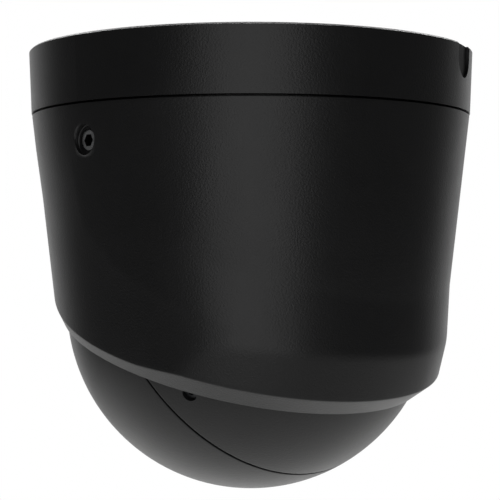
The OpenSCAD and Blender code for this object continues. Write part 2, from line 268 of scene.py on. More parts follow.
# color and wornColor are linear; sizes and depths are in metres
finishBase = {"depth": 0.000006, "crater": 0.2, "metal": 0.0}
finishSet = {
    "black_coat": {
        "color": (0.0068, 0.0068, 0.0072), "rough": (0.32, 0.39), "grain": 0.00042,
        "depth": 0.000045, "crater": 0.35, "wear": 0.35, "wornColor": (0.035, 0.035, 0.037),
        "patch": 0.028,
    },
    "black_rubber": {
        "color": (0.0075, 0.0075, 0.0078), "rough": (0.62, 0.8), "grain": 0.0002,
        "depth": 0.000008, "patch": 0.01,
    },
    "foam": {
        "color": (0.016, 0.016, 0.017), "rough": (0.85, 0.97), "grain": 0.0007,
        "depth": 0.00012, "crater": 1.0, "patch": 0.006,
    },
    "grey_plastic": {
        "color": (0.085, 0.088, 0.092), "rough": (0.34, 0.5), "grain": 0.0003,
        "depth": 0.000008, "crater": 0.3, "patch": 0.015,
    },
    "black_plastic": {
        "color": (0.010, 0.010, 0.0105), "rough": (0.4, 0.56), "grain": 0.00025,
        "depth": 0.000008, "crater": 0.3, "wear": 0.25, "wornColor": (0.04, 0.04, 0.04),
        "patch": 0.012,
    },
    "cup_plastic": {
        "color": (0.035, 0.036, 0.038), "rough": (0.32, 0.46), "grain": 0.0004,
        "depth": 0.000008, "crater": 0.3, "patch": 0.02,
    },
    "white_plastic": {
        "color": (0.74, 0.72, 0.66), "rough": (0.28, 0.4), "grain": 0.0003,
        "patch": 0.01,
    },
    "green_plastic": {
        "color": (0.022, 0.2, 0.06), "rough": (0.34, 0.48), "grain": 0.0002,
        "patch": 0.008,
    },
    "screw_steel": {
        "color": (0.045, 0.046, 0.048), "rough": (0.26, 0.4), "grain": 0.00012,
        "wear": 1.6, "wornColor": (0.66, 0.67, 0.68),
        "depth": 0.000004, "metal": 1.0, "lines": (1.0, 1.0, 1.0),
        "patch": 0.002,
    },
    "spring_steel": {
        "color": (0.5, 0.51, 0.52), "rough": (0.22, 0.34), "grain": 0.0002,
        "depth": 0.000003, "metal": 1.0, "lines": (1.0, 0.05, 1.0),
        "patch": 0.006,
    },
    "brass": {
        "color": (0.55, 0.36, 0.13), "rough": (0.26, 0.4), "grain": 0.0002,
        "depth": 0.000004, "metal": 1.0, "lines": (1.0, 1.0, 0.05),
        "patch": 0.003,
    },
    "lens_metal": {
        "color": (0.012, 0.012, 0.013), "rough": (0.3, 0.42), "grain": 0.00015,
        "depth": 0.000005, "lines": (1.0, 1.0, 0.03),
        "patch": 0.006,
    },
    "heat_sink_metal": {
        "color": (0.6, 0.61, 0.62), "rough": (0.3, 0.45), "grain": 0.0003,
        "metal": 1.0, "lines": (1.0, 0.03, 1.0),
        "patch": 0.012,
    },
    "mic_metal": {
        "color": (0.46, 0.47, 0.48), "rough": (0.25, 0.38), "grain": 0.0001,
        "depth": 0.000003, "metal": 1.0, "lines": (1.0, 1.0, 0.1),
        "patch": 0.002,
    },
    "chip": {
        "color": (0.012, 0.012, 0.0125), "rough": (0.42, 0.6), "grain": 0.00012,
        "crater": 0.4, "patch": 0.004,
    },
}


# How strongly every finish answers its patterns
answerSet = {
    "low": 0.86, "high": 1.14, "fleckGain": 1.7, "fleckAdd": 0.001, "fleckMix": 0.35,
    "lineHeight": 0.7, "lineRough": 0.08, "wornRough": -0.12,
}


# Paint, plastic, rubber or metal: base colour varied by grain, patches and edge wear.
def makeFinish(name, own, k=answerSet):
    s = {**finishBase, **own}
    m, t, shader, where = startMaterial(name)
    grain = putGroup(t, grainGroup, {"Vector": where}, {"Size": s["grain"], "Crater": s["crater"]})
    patch = putGroup(t, patchGroup, {"Vector": where}, {"Size": s["patch"]})
    low = tuple(c * k["low"] for c in s["color"])
    high = tuple(c * k["high"] for c in s["color"])
    color = mixColor(t, patch.outputs["Mask"], low, high)
    fleck = tuple(min(1.0, c * k["fleckGain"] + k["fleckAdd"]) for c in s["color"])
    fleckAmount = mathNode(t, "MULTIPLY", grain.outputs["Speck"], k["fleckMix"])
    color = mixColor(t, fleckAmount, color, fleck)
    rough = mapRange(t, patch.outputs["Mask"], wanted=s["rough"])
    height = grain.outputs["Height"]
    if "lines" in s:
        lines = putGroup(t, streakGroup, {"Vector": where}, {"Stretch": s["lines"]})
        half = mathNode(t, "MULTIPLY", lines.outputs["Height"], k["lineHeight"])
        height = mathNode(t, "ADD", height, half)
        spread = mathNode(t, "MULTIPLY", lines.outputs["Mask"], k["lineRough"])
        rough = mathNode(t, "ADD", rough, spread)
    if "wear" in s:
        edge = setNode(t, "ShaderNodeAttribute", attribute_name="edge")
        wear = putGroup(t, wearGroup, {"Vector": where, "Edge": edge.outputs["Fac"]},
                        {"Amount": s["wear"]})
        color = mixColor(t, wear.outputs["Mask"], color, s["wornColor"])
        polish = mathNode(t, "MULTIPLY", wear.outputs["Mask"], k["wornRough"])
        rough = mathNode(t, "ADD", rough, polish)
    joinShader(t, shader, color, rough, height, s["depth"])
    shader.inputs["Metallic"].default_value = s["metal"]
    return m


glassSet = {
    "window_glass": {"color": (0.56, 0.57, 0.6), "rough": (0.0, 0.012), "ior": 1.49},
    "lens_glass": {"color": (0.75, 0.78, 0.95), "rough": (0.0, 0.01), "ior": 1.6},
    "filter_glass": {"color": (0.9, 0.45, 0.5), "rough": (0.01, 0.03), "ior": 1.52},
    "lamp": {"color": (0.9, 0.9, 0.88), "rough": (0.03, 0.08), "ior": 1.5},
}
clearSet = {
    "dustSize": 0.012, "dustWipe": 0.15, "blend": 0.35, "rimDark": 0.8,
    "coating": (0.32, 0.12, 0.6),   # the violet of a coated lens seen at a slant
}


# Clear material: a slight tint, deeper at the rim, and dust that roughens it in patches.
def makeGlass(name, s, k=clearSet):
    m, t, shader, where = startMaterial(name)
    patch = putGroup(t, patchGroup, {"Vector": where},
                     {"Size": k["dustSize"], "Wipe": k["dustWipe"]})
    rough = mapRange(t, patch.outputs["Mask"], wanted=s["rough"])
    facing = setNode(t, "ShaderNodeLayerWeight", inputs={"Blend": k["blend"]})
    deep = tuple(c * k["rimDark"] for c in s["color"])
    if name == "lens_glass":
        deep = k["coating"]
    color = mixColor(t, facing.outputs["Facing"], s["color"], deep)
    joinShader(t, shader, color, rough)
    shader.inputs["Transmission Weight"].default_value = 1.0
    shader.inputs["IOR"].default_value = s["ior"]
    return m


boardSet = {
    "color": (0.012, 0.085, 0.035), "track": (0.02, 0.15, 0.055), "pad": (0.55, 0.5, 0.32),
    "trackScale": 520.0, "trackRing": 0.12, "trackRange": (0.045, 0.06),
    "padScale": 420.0, "padSpread": 0.35, "padRange": (0.17, 0.15),
    "rough": (0.34, 0.27), "grain": 0.00025, "depth": 0.00002,
}


# Circuit board: square-cornered copper tracks under green resist, and rows of tinned pads.
def makeBoard(s):
    m, t, shader, where = startMaterial("board")
    cells = setNode(t, "ShaderNodeTexVoronoi", {"Vector": where}, {"Scale": s["trackScale"]},
                    distance="CHEBYCHEV", feature="F1")
    rings = mathNode(t, "PINGPONG", cells.outputs["Distance"], s["trackRing"])
    track = mapRange(t, rings, given=s["trackRange"])
    color = mixColor(t, track, s["color"], s["track"])
    dots = setNode(t, "ShaderNodeTexVoronoi", {"Vector": where},
                   {"Scale": s["padScale"], "Randomness": s["padSpread"]}, distance="CHEBYCHEV")
    pad = mapRange(t, dots.outputs["Distance"], given=s["padRange"])
    color = mixColor(t, pad, color, s["pad"])
    rough = mapRange(t, track, wanted=s["rough"])
    grain = putGroup(t, grainGroup, {"Vector": where}, {"Size": s["grain"]})
    raised = mathNode(t, "ADD", track, grain.outputs["Height"])
    joinShader(t, shader, color, rough, raised, s["depth"])
    return m


sensorSet = {
    "stretch": (1.0, 0.05, 0.05), "blend": 0.5, "cool": (0.03, 0.05, 0.09),
    "warm": (0.09, 0.03, 0.08), "line": (0.02, 0.03, 0.05), "rough": 0.5, "roughSpread": 0.06,
}


# Image sensor: dark glass over fine upright lines that throw a faint colour.
def makeSensor(s):
    m, t, shader, where = startMaterial("sensor")
    lines = putGroup(t, streakGroup, {"Vector": where}, {"Stretch": s["stretch"]})
    facing = setNode(t, "ShaderNodeLayerWeight", inputs={"Blend": s["blend"]})
    shine = mixColor(t, facing.outputs["Facing"], s["cool"], s["warm"])
    color = mixColor(t, lines.outputs["Mask"], shine, s["line"])
    rough = setNode(t, "ShaderNodeMath", {0: lines.outputs["Mask"]},
                    {1: s["roughSpread"], 2: s["rough"]}, operation="MULTIPLY_ADD")
    joinShader(t, shader, color, rough.outputs[0])
    return m


finish = {name: makeFinish(name, s) for name, s in finishSet.items()}
finish.update({name: makeGlass(name, s) for name, s in glassSet.items()})
finish["board"] = makeBoard(boardSet)
finish["sensor"] = makeSensor(sensorSet)
for nodeName, obj in frame["nodes"].items():
    obj.data.materials.clear()
    obj.data.materials.append(finish[slotOf[nodeName]])
print("finishes:", len(finish))

# White surround behind, darker flanks, one soft panel in front, one over the pale floor
studioSet = {
    "frontAzimuth": 46.2,
    "backLevel": 0.95, "backFrom": -0.42, "backTo": -1.1,
    "flankLevel": 0.078,
    "panelPower": 2.0, "panelSize": (0.78, 0.9), "panelDistance": 0.9, "panelHeight": -0.03,
    "topPower": 44.0, "topSize": 1.5, "topHeight": 1.0, "topBack": 1.15,
    "floorDrop": -0.85, "floorR": 2.5, "floorHole": 0.02, "floorRings": 12, "floorTurns": 96,
    "floorRough": 0.9, "cloudScale": 1.6,
    "floorColors": ((0.8, 0.8, 0.79), (0.84, 0.84, 0.835)),
}


# Level rises from the flanks to near white behind the object; the camera sees plain white.
def makeWorld(s):
    world = bpy.data.worlds.new("studioWorld")
    scene.world = world
    world.use_nodes = True
    t = world.node_tree
    t.nodes.clear()
    a = math.radians(s["frontAzimuth"])
    where = t.nodes.new("ShaderNodeTexCoord").outputs["Generated"]
    dot = setNode(t, "ShaderNodeVectorMath", {0: where}, operation="DOT_PRODUCT")
    dot.inputs[1].default_value = (math.cos(a), math.sin(a), 0)
    back = mapRange(t, dot.outputs["Value"], (s["backFrom"], s["backTo"]),
                    (s["flankLevel"], s["backLevel"]), smooth=True)
    path = t.nodes.new("ShaderNodeLightPath")
    pick = setNode(t, "ShaderNodeMix", data_type="FLOAT")
    t.links.new(path.outputs["Is Camera Ray"], pick.inputs["Factor"])
    t.links.new(back, pick.inputs["A"])
    pick.inputs["B"].default_value = 1.0
    sky = setNode(t, "ShaderNodeBackground", {"Color": pick.outputs["Result"]})
    setNode(t, "ShaderNodeOutputWorld", {"Surface": sky.outputs[0]})


def makePanel(name, size, power, place, turn):
    lamp = bpy.data.lights.new(name, "AREA")
    lamp.shape = "RECTANGLE"
    lamp.size, lamp.size_y = size
    lamp.energy = power
    obj = bpy.data.objects.new(name, lamp)
    scene.collection.objects.link(obj)
    obj.location, obj.rotation_euler = place, turn
    obj.visible_camera = False


# A pale disc well under the ceiling camera; radius rises ring by ring, closed at its middle.
def makeFloor(s):
    turns = np.linspace(0, 2 * math.pi, s["floorTurns"], endpoint=False)
    rings = np.linspace(s["floorHole"], s["floorR"], s["floorRings"])[:, None]
    points = np.stack([rings * np.cos(turns), rings * np.sin(turns),
                       rings * 0 + s["floorDrop"] + 0 * turns], -1)
    ids = np.arange(rings.size * turns.size).reshape(-1, turns.size)
    cells = np.stack([ids[:-1], np.roll(ids[:-1], -1, 1), np.roll(ids[1:], -1, 1), ids[1:]], -1)
    faces = cells.reshape(-1, 4).tolist() + [ids[0].tolist()]
    mesh = bpy.data.meshes.new("studioFloor")
    mesh.from_pydata(points.reshape(-1, 3).tolist(), [], faces)
    m, t, shader, where = startMaterial("floorPaint")
    cloud = setNode(t, "ShaderNodeTexNoise", {"Vector": where}, {"Scale": s["cloudScale"]})
    color = mixColor(t, cloud.outputs["Fac"], *s["floorColors"])
    t.links.new(color, shader.inputs["Base Color"])
    shader.inputs["Roughness"].default_value = s["floorRough"]
    mesh.materials.append(m)
    obj = bpy.data.objects.new("studioFloor", mesh)
    scene.collection.objects.link(obj)


frontTurn = math.radians(studioSet["frontAzimuth"])
panelAway, topBack = studioSet["panelDistance"], studioSet["topBack"]
makeWorld(studioSet)
makeFloor(studioSet)
makePanel("frontPanel", studioSet["panelSize"], studioSet["panelPower"],
          (panelAway * math.cos(frontTurn), panelAway * math.sin(frontTurn),
           studioSet["panelHeight"]),
          (math.radians(90), 0, frontTurn + math.radians(90)))
makePanel("topPanel", (studioSet["topSize"], studioSet["topSize"]), studioSet["topPower"],
          (-topBack * math.cos(frontTurn), -topBack * math.sin(frontTurn), studioSet["topHeight"]),
          (0, 0, 0))
scene.view_settings.view_transform = "Standard"
print("studio lit")


def newSkin():
    return {"points": [], "edge": [], "quads": [], "tris": [], "count": 0}


# Stores an array of points (..., 3) in millimetres and gives back their numbers.
def addPoints(skin, points, edge=0.0):
    flat = np.asarray(points, float).reshape(-1, 3)
    ids = np.arange(len(flat)) + skin["count"]
    skin["points"].append(flat)
    skin["edge"].append(np.broadcast_to(edge, np.shape(points)[:-1]).ravel())
    skin["count"] += len(flat)
    return ids.reshape(np.shape(points)[:-1])


# Rows of points joined into quads; columns close on themselves, and keep masks the cells.
def addGrid(skin, points, edge=0.0, closeRows=False, keep=None):
    ids = addPoints(skin, points, edge)
    below = np.roll(ids, -1, axis=0) if closeRows else ids[1:]
    above = ids if closeRows else ids[:-1]
    cells = np.stack([above, np.roll(above, -1, 1), np.roll(below, -1, 1), below], axis=-1)
    if keep is not None:
        cells = cells[keep[: len(cells)]]
    skin["quads"].append(cells.reshape(-1, 4))
    return ids


# Quads between two closed loops with the same number of points.
def addBand(skin, loopA, loopB):
    cells = np.stack([loopA, np.roll(loopA, -1), np.roll(loopB, -1), loopB], axis=-1)
    skin["quads"].append(cells)


# A fan that closes a loop at one point.
def addPole(skin, loop, point):
    tip = addPoints(skin, np.asarray([point], float))[0]
    fan = np.stack([loop, np.roll(loop, -1), np.full(len(loop), tip)], axis=-1)
    skin["tris"].append(fan)


# Numbers of the points round a block of cells, clockwise from its top left corner.
def blockLoop(ids, top, bottom, left, right):
    wrap = ids.shape[1]
    across = np.arange(left, right) % wrap
    down = np.arange(top, bottom)
    return np.concatenate([
        ids[top, across], ids[down, right % wrap],
        ids[bottom, np.arange(right, left, -1) % wrap],
        ids[np.arange(bottom, top, -1), left % wrap],
    ])


pitSteps, pitSpread, pitEdge = (0.4, 0.75, 1.0), 0.25, 0.6   # steps to the rim, and its wear


# A round pit let into a grid: the block's edge runs in three steps to a circle of radius mouth
# on the surface, then through circles (radius, height along the axis). Gives the last circle.
def addPit(skin, loop, start, centre, axis, mouth, stations, onSurface):
    axis = np.asarray(axis, float) / np.linalg.norm(axis)
    side = np.cross(axis, (0.0, 0.0, 1.0))
    side /= np.linalg.norm(side)
    up = np.cross(side, axis)
    away = start - centre
    turn = np.arctan2(away @ up, away @ side)
    ray = np.cos(turn)[:, None] * side + np.sin(turn)[:, None] * up
    last = loop
    for part in pitSteps:
        circle = centre + ray * (mouth + pitSpread * (1.0 - part))
        ring = addPoints(skin, onSurface((1.0 - part) * start + part * circle),
                         pitEdge * (part == 1.0))
        addBand(skin, last, ring)
        last = ring
    foot = centre - axis * (centre @ axis)
    for radius, height in stations:
        ring = addPoints(skin, foot + axis * height + ray * radius, 0.0)
        addBand(skin, last, ring)
        last = ring
    return last, foot, axis


# A closed path through the corners; each corner with a cut is a curve
# (1-t)^2 A + 2t(1-t) C + t^2 B from a point cut before it to a point cut after it.
def roundPath(corners, cuts, steps=4):
    corners = np.asarray(corners, float)
    back = np.roll(corners, 1, axis=0) - corners
    ahead = np.roll(corners, -1, axis=0) - corners
    t = np.linspace(0, 1, steps + 1)[:, None]
    path, soft = [], []
    for corner, b, f, cut in zip(corners, back, ahead, cuts):
        if cut == 0:
            path.append(corner[None])
            soft.append([0.0])
            continue
        a = corner + b / np.linalg.norm(b) * min(cut, 0.45 * np.linalg.norm(b))
        c = corner + f / np.linalg.norm(f) * min(cut, 0.45 * np.linalg.norm(f))
        path.append((1 - t) ** 2 * a + 2 * t * (1 - t) * corner + t ** 2 * c)
        soft.append(np.sin(np.pi * t[:, 0]))
    return np.concatenate(path), np.concatenate(soft)


# Carries a profile of (radius, height) round the axis: (r cos a, r sin a, z) at each turn a.
def spin(path, turns):
    r, z = path[:, 0][:, None], path[:, 1][:, None]
    return np.stack([r * np.cos(turns), r * np.sin(turns), z + 0 * turns], axis=-1)


# Lens or opening frame to the object's: turn about X by -tilt, lower by drop, turn about Z.
def inObject(points, tilt=0.0, drop=0.0, turn=0.0):
    a, b = math.radians(tilt), math.radians(turn)
    x, y, z = points[..., 0], points[..., 1], points[..., 2]
    y, z = y * math.cos(a) + z * math.sin(a), z * math.cos(a) - y * math.sin(a) - drop
    return np.stack([x * math.cos(b) - y * math.sin(b),
                     x * math.sin(b) + y * math.cos(b), z], axis=-1)


# Turns a skin into a mesh object at the origin, faces outwards, hangs it on its body's empty and
# hides the model's nodes it takes the place of, if any.
def makePiece(name, skin, body, slotName, *nodes, tilt=0.0, drop=0.0, turn=0.0, sharp=40.0):
    points = inObject(np.concatenate(skin["points"]), tilt, drop, turn) * mm
    quads = np.concatenate(skin["quads"]) if skin["quads"] else np.zeros((0, 4), int)
    tris = np.concatenate(skin["tris"]) if skin["tris"] else np.zeros((0, 3), int)
    mesh = bpy.data.meshes.new(name)
    mesh.vertices.add(len(points))
    mesh.vertices.foreach_set("co", points.astype(np.float32).ravel())
    corners = np.concatenate([quads.ravel(), tris.ravel()]).astype(np.int32)
    starts = np.concatenate([np.arange(len(quads)) * 4, len(quads) * 4 + np.arange(len(tris)) * 3])
    mesh.loops.add(len(corners))
    mesh.loops.foreach_set("vertex_index", corners)
    mesh.polygons.add(len(starts))
    mesh.polygons.foreach_set("loop_start", starts.astype(np.int32))
    mesh.update(calc_edges=True)
    edge = mesh.attributes.new("edge", "FLOAT", "POINT")
    edge.data.foreach_set("value", np.concatenate(skin["edge"]).astype(np.float32))
    work = bmesh.new()
    work.from_mesh(mesh)
    bmesh.ops.remove_doubles(work, verts=work.verts, dist=1e-6)
    bmesh.ops.recalc_face_normals(work, faces=work.faces)
    work.to_mesh(mesh)
    work.free()
    mesh.validate()
    mesh.shade_smooth()
    mesh.set_sharp_from_angle(angle=math.radians(sharp))
    mesh.materials.append(finish[slotName])
    obj = bpy.data.objects.new(name, mesh)
    scene.collection.objects.link(obj)
    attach(obj, body)
    if nodes:
        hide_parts(*nodes)
    print("piece", name, len(mesh.polygons), "faces")


ballDrop = 62.07
ballFrame = {"tilt": 63.3, "drop": ballDrop}   # where the lens looks, and how low the ball hangs

# The shroud: a turned side trimmed by a tilted cone and a tilted cylinder
shroudSet = {
    "turn": -5.0,
    "top": 15.75, "topR": 54.25, "taper": 0.116,
    "bandTaper": 0.055,
    "bandTurns": (0, 38.7, 48.7, 59.7, 68.7, 80.7, 97.0, 113.3, 125.3, 134.3, 145.3, 155.3, 360),
    "bandDrops": (50.0, 51.2, 54.0, 57.2, 58.5, 60.0, 61.2, 60.0, 58.5, 57.2, 54.0, 51.2, 50.0),
    "fadeTurns": (0, 18, 46, 148, 176, 360), "fades": (0, 0, 1, 1, 0, 0),
    "crease": ((-2, -14), (-0.3, -30), (2.7, -42.8), (12.2, -52), (27.2, -59.5), (46.7, -65.8),
               (59.7, -69.2), (73.2, -71.8)),
    "creaseTurns": (-70, -30, 48, 66), "creaseFades": (0, 1, 1, 0),
    "creaseSlope": 0.05, "creaseWidth": 6.0, "creaseTop": (-36, -24), "creaseR": 50,
    "wall": 2.2, "tilt": 18.0,
    "lipDrop": 10.7, "lipR": 45.15, "lipLand": 0.35,
    "lipSlope": 0.85, "slopeDip": 0.17, "dipTurn": 125.0, "dipWidth": 55.0, "steady": 44.0,
    "bevelR": 49.4, "bevelFlare": 0.2, "bevelTop": 5.0, "keepY": 8.0,
    "blend": 0.25, "untrimmed": 9,
    "ballR": 46.4, "seatR": 47.6, "seatTop": 3.0, "seatEnd": 6.5,
    "tongueR": 51.4, "tongueIn": 49.4, "tongueTop": 8.5, "tongueFoot": 17.95,
    "grooveR": 50.6, "grooveTop": 11.3, "grooveEnd": 12.7,
    "columns": 384, "block": 6, "rowStep": 0.9, "rowGaps": (0.9, 0.7, 1.2), "sideRows": 41,
    "edgeCut": 0.25, "edgeRound": 0.24,
    "lockTurn": 6.2, "lockDrop": 24.0, "pocketR": 3.4, "lockFace": 52.0,
    "screwR": 2.55, "insertR": 3.5, "insertOut": 50.0, "lugIn": 46.5, "lugR": 5.5,
}


# Turned side before trimming: radius falls by taper per mm, and under the band line by a
# smaller taper on the side away from the lens.
def shroudSide(s, z, a):
    turn = np.degrees(a) % 360
    bandZ = -np.interp(turn, s["bandTurns"], s["bandDrops"])
    fade = np.interp(turn, s["fadeTurns"], s["fades"])
    slope = s["taper"] - (s["taper"] - s["bandTaper"]) * fade
    upper = s["topR"] + s["taper"] * (z + s["top"])
    band = s["topR"] + s["taper"] * (bandZ + s["top"]) + slope * (z - bandZ)
    return np.where(z > bandZ, upper, band)


# Hollow beyond the crease line: depth k w (1 - exp(-d / w)) at distance d to its lens side.
def creaseDip(s, z, a):
    x = (np.degrees(a) + 180) % 360 - 180
    place = np.stack(np.broadcast_arrays(np.radians(x) * s["creaseR"], z), axis=-1)
    line = np.array(s["crease"]) * (math.radians(s["creaseR"]), 1.0)
    start, run = line[:-1], np.diff(line, axis=0)
    away = place[..., None, :] - start
    part = np.clip((away * run).sum(-1) / (run ** 2).sum(-1), 0, 1)
    gapTo = away - part[..., None] * run
    distance = np.sqrt((gapTo ** 2).sum(-1))
    near = distance.argmin(-1)[..., None]
    cross = run[:, 0] * away[..., 1] - run[:, 1] * away[..., 0]
    side = np.take_along_axis(cross, near, -1)[..., 0] < 0
    d = np.where(side, np.take_along_axis(distance, near, -1)[..., 0], 0)
    fade = np.interp(x, s["creaseTurns"], s["creaseFades"])
    fade = fade * np.interp(z, s["creaseTop"], (1, 0))
    return s["creaseSlope"] * s["creaseWidth"] * (1 - np.exp(-d / s["creaseWidth"])) * fade


# Height below the ball's centre along the opening's axis, distance from it, and turn about it.
def tiltedPlace(s, points):
    c, d = math.cos(math.radians(s["tilt"])), math.sin(math.radians(s["tilt"]))
    w = points[..., 2] + ballDrop
    across, along = points[..., 0], -points[..., 1] * c + w * d
    height = -points[..., 1] * d - w * c
    return height, np.hypot(across, along), np.arctan2(across, along)


# The inverse of tiltedPlace.
def fromTilted(s, height, radius, turn):
    c, d = math.cos(math.radians(s["tilt"])), math.sin(math.radians(s["tilt"]))
    across, along = radius * np.sin(turn), radius * np.cos(turn)
    y = -(along * c + height * d)
    w = along * d - height * c
    return np.stack(np.broadcast_arrays(across, y, w - ballDrop), axis=-1)


# Smaller of the turned side and the tilted cylinder, blended over a quarter of a millimetre.
def shroudRadius(s, z, a):
    side = shroudSide(s, z, a) - creaseDip(s, z, a)
    c, d = math.cos(math.radians(s["tilt"])), math.sin(math.radians(s["tilt"]))
    facing = -np.sin(a)
    w = z + ballDrop
    bevel, trim = s["bevelR"], side
    for k in range(3):
        p = facing ** 2 * c * c + 1 - facing ** 2
        q = 2 * facing * c * d * w
        trim = (-q + np.sqrt(q * q - 4 * p * (w * w * d * d - bevel ** 2))) / (2 * p)
        height = facing * trim * d - w * c
        bevel = s["bevelR"] + s["bevelFlare"] * np.maximum(0, -s["bevelTop"] - height)
    trim = np.where(side * np.sin(a) > s["keepY"], trim, side + s["untrimmed"])
    near = np.maximum(s["blend"] - np.abs(side - trim), 0)
    return np.minimum(side, trim) - near ** 2 / (4 * s["blend"])


def wheel(r, z, a):
    return np.stack(np.broadcast_arrays(r * np.cos(a), r * np.sin(a), z), axis=-1)


# The lip's cone is steeper on its flanks: slope - dip (1 - p^2)^2, where p grows from 0 at
# dipTurn, measured from the low side, to 1 at dipWidth away from it.
def lipSlope(s, a):
    fromLow = np.abs((np.degrees(a) - 90 + 180) % 360 - 180)
    p = np.clip(np.abs(fromLow - s["dipTurn"]) / s["dipWidth"], 0, 1)
    return s["lipSlope"] - s["slopeDip"] * (1 - p * p) ** 2


# The height, one for each column, above which inside(height) holds, by halving the gap
def halve(a, top, inside):
    high, low = np.full(a.shape, top), np.full(a.shape, -96.0)
    for k in range(44):
        mid = (high + low) / 2
        test = inside(mid)
        low, high = np.where(test, low, mid), np.where(test, mid, high)
    return (high + low) / 2


# Height where the side meets the lip's cone
def lipEdge(s, a):
    def inside(z):
        height, radius = tiltedPlace(s, wheel(shroudRadius(s, z, a), z, a))[:2]
        return radius < s["lipR"] + s["lipLand"] + lipSlope(s, a) * (s["lipDrop"] - height)

    return halve(a, 1.0 - s["steady"], inside)


# Height where the inner wall meets the cone above the friction ring's seat
def seatEdge(s, a):
    def inside(z):
        height, radius = tiltedPlace(s, wheel(shroudSide(s, z, a) - s["wall"], z, a))[:2]
        return radius < s["seatR"] + s["seatTop"] - height

    return halve(a, -20.0, inside)


# Points of the curve (1-t)^2 a + 2t(1-t) b + t^2 c, a row for each step.
def curve3(a, b, c, steps):
    t = np.linspace(0, 1, steps + 1)[:, None, None]
    return (1 - t) ** 2 * a + 2 * t * (1 - t) * b + t ** 2 * c


